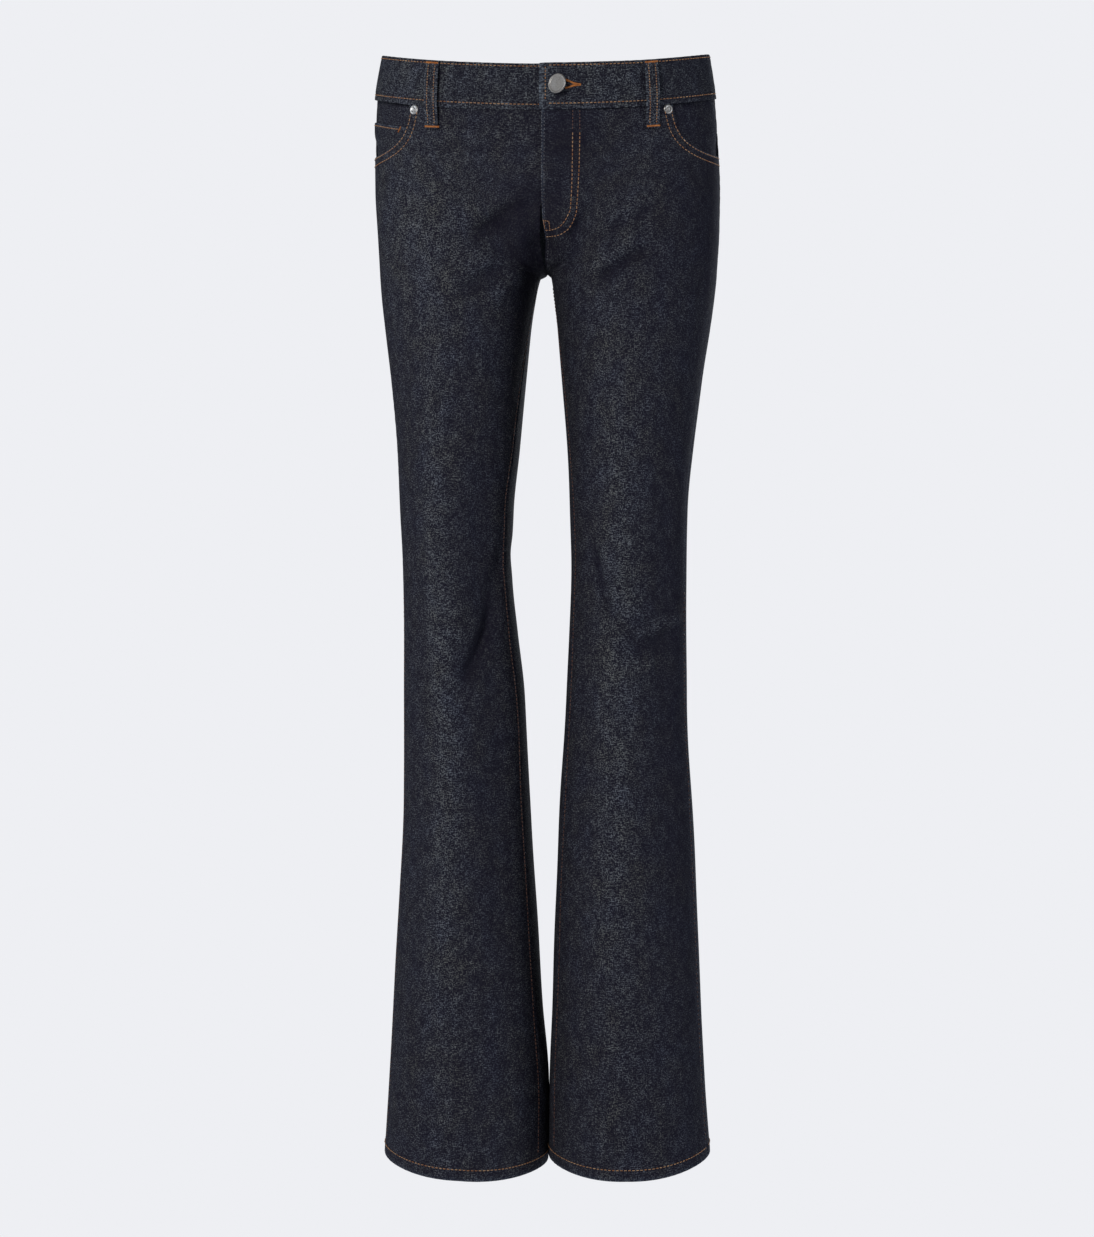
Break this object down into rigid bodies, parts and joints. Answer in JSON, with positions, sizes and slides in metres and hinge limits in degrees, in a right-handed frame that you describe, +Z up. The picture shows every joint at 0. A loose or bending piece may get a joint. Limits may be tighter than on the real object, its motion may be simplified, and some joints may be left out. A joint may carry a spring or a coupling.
{
  "type": "bootcut jeans",
  "caption": "Low-rise bootcut jeans in dark denim, filled out with no wearer: legs narrow at the knee and flared at the hem, scooped pockets, buttoned waistband over a closed zip fly.",
  "frame": {"origin": "the middle of the waistband's ring, half way up it at the sides, where a wearer or a form holds the garment", "axes": "+Z up along the garment, -Y out of its front, +X to the wearer's left"},
  "size_m": [0.3353, 0.2289, 1.0834],
  "materials": {
    "denim": "raw indigo twill",
    "zip_tape": "woven tape",
    "pewter_metal": "aged pewter"
  },
  "bodies": {
    "root": {"front_right": "denim", "front_left": "denim", "back_right": "denim", "back_left": "denim", "yoke_right": "denim", "yoke_left": "denim", "waistband": "denim", "pocket_facing_right": "denim", "pocket_facing_left": "denim", "coin_pocket": "denim", "back_pocket_right": "denim", "back_pocket_left": "denim", "fly_shield": "denim", "belt_loop_front_right": "denim", "belt_loop_front_left": "denim", "belt_loop_back_right": "denim", "belt_loop_back_left": "denim", "belt_loop_centre": "denim", "zip": "zip_tape", "button": "pewter_metal", "button_tack": "pewter_metal", "rivet_right": "pewter_metal", "rivet_left": "pewter_metal"}
  },
  "joints": []
}
